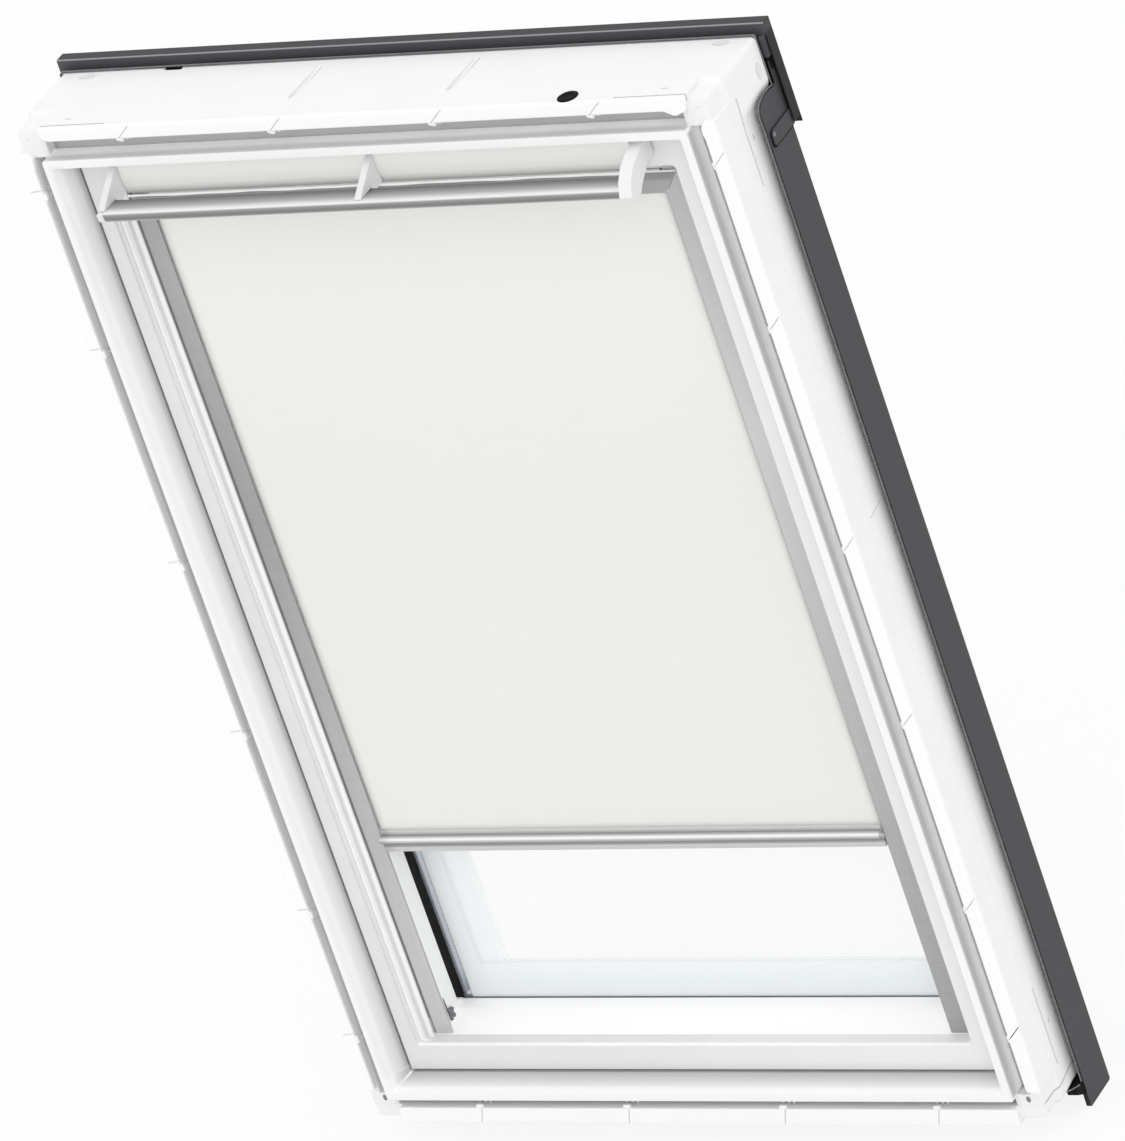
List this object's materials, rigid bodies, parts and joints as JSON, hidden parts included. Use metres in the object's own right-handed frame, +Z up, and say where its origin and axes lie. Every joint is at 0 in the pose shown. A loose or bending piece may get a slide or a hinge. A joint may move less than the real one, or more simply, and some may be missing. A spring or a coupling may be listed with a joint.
{
  "type": "roof window with roller blind",
  "caption": "White centre-pivot roof window with dark exterior covers, a ventilation flap worked by a top control bar, and a cream roller blind in side channels.",
  "frame": {"origin": "middle of the sill's bottom pad face, 24 mm outwards from the frame's room-side lip", "axes": "+X right seen from the room, +Y out of the roof, +Z up the window from sill to head"},
  "size_m": [0.794, 0.1782, 1.2156],
  "materials": {
    "frame_plastic": "satin white",
    "sash_plastic": "satin white",
    "flap_plastic": "matt warm white",
    "painted_aluminium": "satin light grey",
    "cover_paint": "matt dark grey",
    "bright_metal": "zinc plated",
    "spacer_metal": "matt",
    "black_rubber": "matt",
    "clear_glass": "clear",
    "blind_cloth": "fine plain weave"
  },
  "bodies": {
    "frame": {"frame_head": "frame_plastic", "frame_sill": "frame_plastic", "frame_jamb_left": "frame_plastic", "frame_jamb_right": "frame_plastic", "corner_block_top_left": "frame_plastic", "corner_block_top_right": "frame_plastic", "corner_block_bottom_left": "frame_plastic", "corner_block_bottom_right": "frame_plastic", "cable_grommet": "black_rubber", "flange_rail_left": "frame_plastic", "flange_rail_right": "frame_plastic", "head_flange": "bright_metal", "side_cover_left": "cover_paint", "side_cover_right": "cover_paint", "bottom_cover": "cover_paint", "hood": "cover_paint", "hood_strap_left": "cover_paint", "hood_strap_right": "cover_paint", "strap_screw_left": "bright_metal", "strap_screw_right": "bright_metal", "pivot_socket_left": "bright_metal", "pivot_socket_right": "bright_metal", "striker_plate": "bright_metal", "frame_seal": "black_rubber"},
    "sash": {"sash_stile_left": "sash_plastic", "sash_stile_right": "sash_plastic", "sash_top_rail": "sash_plastic", "sash_bottom_rail": "sash_plastic", "pivot_pin_left": "bright_metal", "pivot_pin_right": "bright_metal", "lock_case": "bright_metal", "inner_pane": "clear_glass", "outer_pane": "clear_glass", "spacer_frame": "spacer_metal", "inner_gasket": "black_rubber", "sash_cover_left": "cover_paint", "sash_cover_right": "cover_paint", "sash_cover_top": "cover_paint", "sash_cover_bottom": "cover_paint", "blind_casing": "painted_aluminium", "casing_end_left": "sash_plastic", "casing_end_right": "sash_plastic", "blind_channel_left": "painted_aluminium", "blind_channel_right": "painted_aluminium", "cleaning_clip": "bright_metal"},
    "flap": {"flap_panel": "flap_plastic", "flap_fin_left": "flap_plastic", "flap_fin_middle": "flap_plastic", "flap_arm_right": "flap_plastic", "control_bar": "painted_aluminium", "bar_end_cap": "flap_plastic", "flap_hinge_rod": "bright_metal"},
    "bolt": {"lock_bolt": "bright_metal"},
    "roller": {"roller_tube": "blind_cloth", "tube_plug_left": "bright_metal", "tube_plug_right": "bright_metal"},
    "blind": {"blind_fabric": "blind_cloth", "bottom_bar": "painted_aluminium", "end_glide_left": "sash_plastic", "end_glide_right": "sash_plastic"}
  },
  "joints": [
    {"name": "sash_turn", "type": "hinge", "parent": "frame", "child": "sash", "pos_m": [0, 0.046, 0.58925], "axis": [1, 0, 0], "range_deg": [0, 160]},
    {"name": "flap_turn", "type": "hinge", "parent": "sash", "child": "flap", "pos_m": [0, -0.0014, 1.0975], "axis": [1, 0, 0], "range_deg": [0, 45]},
    {"name": "bolt_slide", "type": "slide", "parent": "sash", "child": "bolt", "axis": [0, 0, 1], "range_m": [-0.009, 0]},
    {"name": "blind_slide", "type": "slide", "parent": "sash", "child": "blind", "axis": [0, 0, 1], "range_m": [-0.2, 0.71], "deforming": ["blind_fabric"]},
    {"name": "roller_turn", "type": "hinge", "parent": "sash", "child": "roller", "pos_m": [0, 0.034, 1.06495], "axis": [1, 0, 0], "range_deg": [-3990, 1150]}
  ],
  "couplings": [
    {"joint": "bolt_slide", "follows": "flap_turn", "m_per_rad": -0.0108},
    {"joint": "roller_turn", "follows": "blind_slide", "rad_per_m": -97.087}
  ]
}
